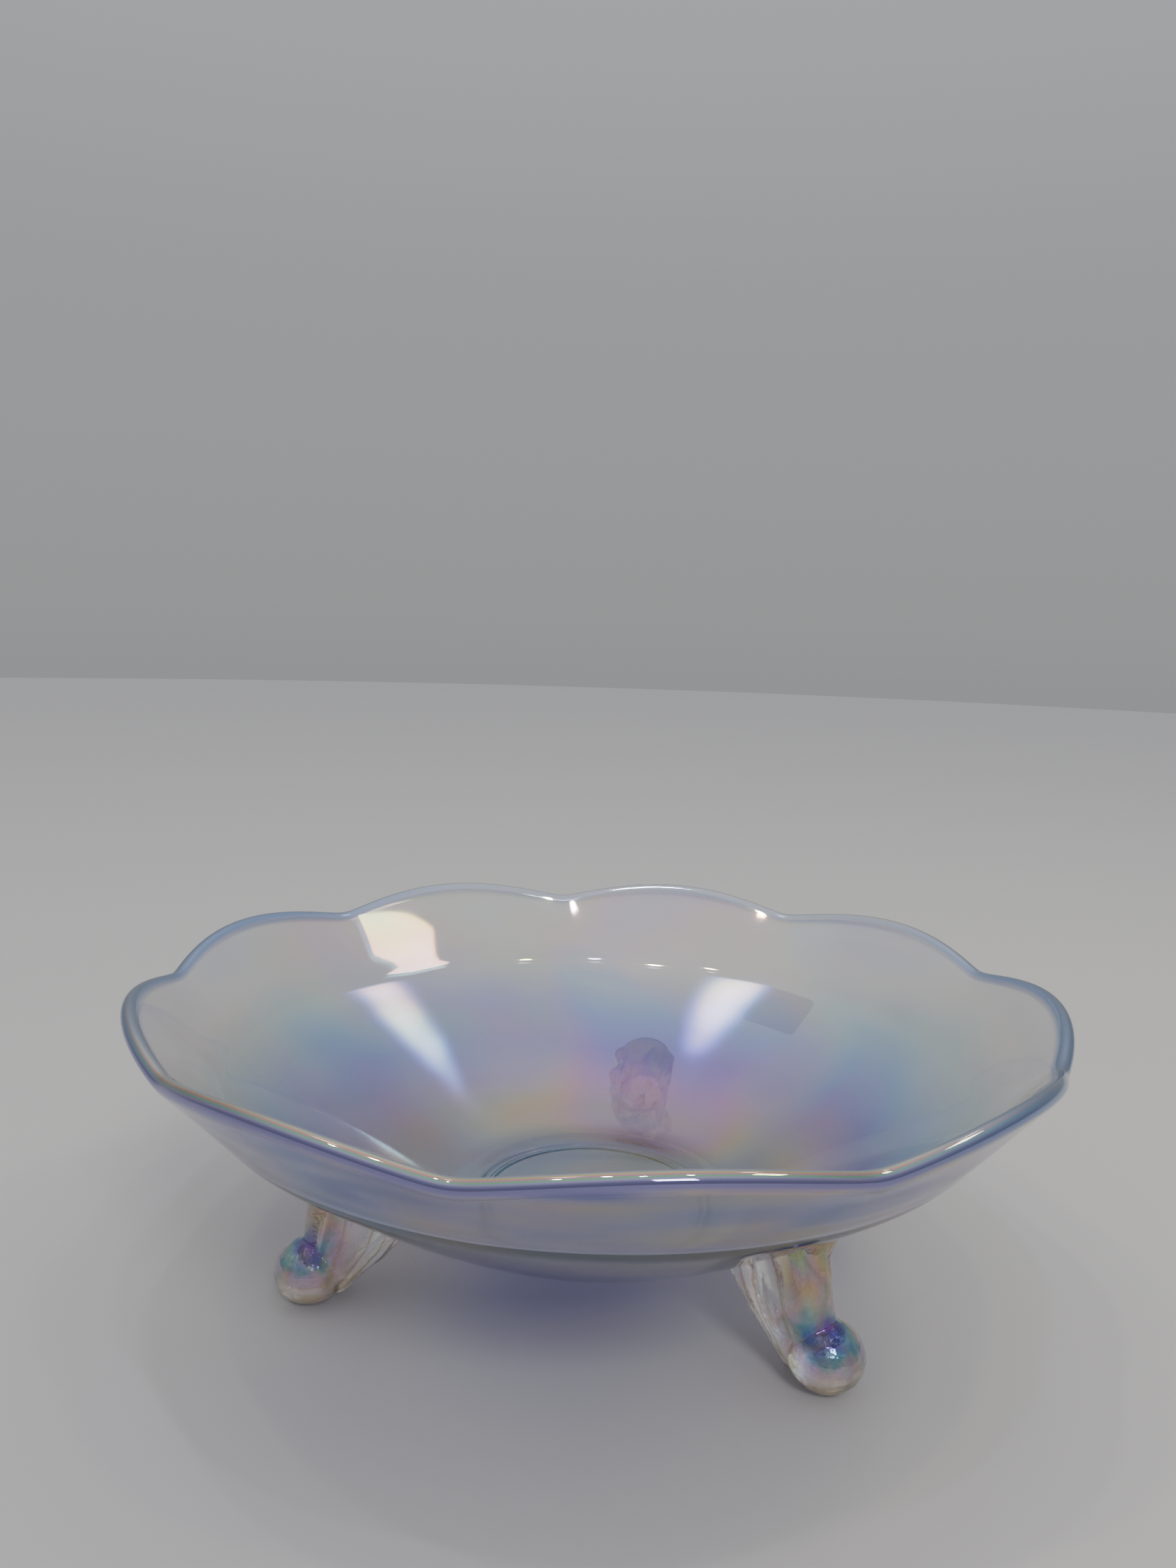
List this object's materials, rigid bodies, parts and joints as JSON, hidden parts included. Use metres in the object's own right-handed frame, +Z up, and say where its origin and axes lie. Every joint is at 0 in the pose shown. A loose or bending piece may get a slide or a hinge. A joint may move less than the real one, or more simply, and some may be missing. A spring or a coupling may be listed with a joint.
{
  "type": "footed art glass bowl",
  "caption": "Wide shallow glass bowl with a scalloped rim and an iridescent lustre, standing on fluted shell feet with ball toes.",
  "frame": {"origin": "on the ground, on the bowl's axis, midway between the three feet", "axes": "+Z up along the bowl's axis; +Y towards the rear foot; +X to the right seen from the front"},
  "size_m": [0.2786, 0.2774, 0.096],
  "materials": {
    "bowl_glass": "clear pressed glass with a thin iridescent lustre",
    "foot_glass": "clear pressed glass with a heavier pearly purple and blue lustre",
    "label_paper": "blank coated paper label"
  },
  "bodies": {
    "root": {"bowl": "bowl_glass", "foot_rear": "foot_glass", "foot_front_left": "foot_glass", "foot_front_right": "foot_glass", "paper_label": "label_paper"}
  },
  "joints": []
}
